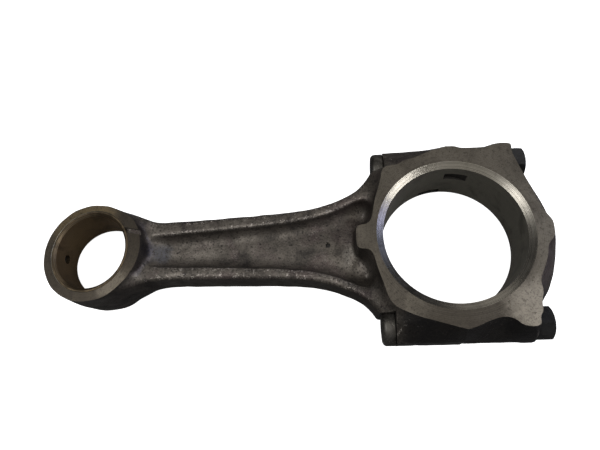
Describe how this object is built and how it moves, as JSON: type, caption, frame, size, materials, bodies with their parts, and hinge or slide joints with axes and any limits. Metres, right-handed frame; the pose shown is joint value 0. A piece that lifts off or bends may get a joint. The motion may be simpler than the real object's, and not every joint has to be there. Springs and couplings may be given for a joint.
{
  "type": "connecting rod",
  "caption": "Forged engine connecting rod with I-section shank, split big end with bolted cap, and wedge-shaped small end with pressed bronze bush.",
  "frame": {"origin": "on the big-end bore axis, midway between the two thrust faces", "axes": "+Z along both bores, +X from the small end through the big end to the cap, +Y across the rod"},
  "size_m": [0.2551, 0.0998, 0.0328],
  "materials": {
    "forged_steel": "dark forging scale with machined thrust faces, bores and seats",
    "forged_steel_cap": "dark forging scale with machined thrust faces, bore and seats",
    "bush_bronze": "stained bearing bronze",
    "bolt_steel": "oil-blackened steel",
    "nut_black": "black oxide"
  },
  "bodies": {
    "rod": {"rod_body": "forged_steel", "small_end_bush": "bush_bronze", "bolt_upper": "bolt_steel", "bolt_lower": "bolt_steel"},
    "cap": {"cap": "forged_steel_cap"},
    "nut_upper": {"nut_upper": "nut_black"},
    "nut_lower": {"nut_lower": "nut_black"}
  },
  "joints": [
    {"name": "cap_slide", "type": "slide", "parent": "rod", "child": "cap", "axis": [1, 0, 0], "range_m": [0, 0.0085]},
    {"name": "nut_upper_spin", "type": "hinge", "parent": "cap", "child": "nut_upper", "pos_m": [0.0365, 0.041, 0], "axis": [1, 0, 0], "range_deg": [0, 2450]},
    {"name": "nut_lower_spin", "type": "hinge", "parent": "cap", "child": "nut_lower", "pos_m": [0.0365, -0.041, 0], "axis": [1, 0, 0], "range_deg": [0, 2450]}
  ],
  "couplings": [
    {"joint": "nut_upper_spin", "follows": "cap_slide", "rad_per_m": 5026.5},
    {"joint": "nut_lower_spin", "follows": "cap_slide", "rad_per_m": 5026.5}
  ]
}
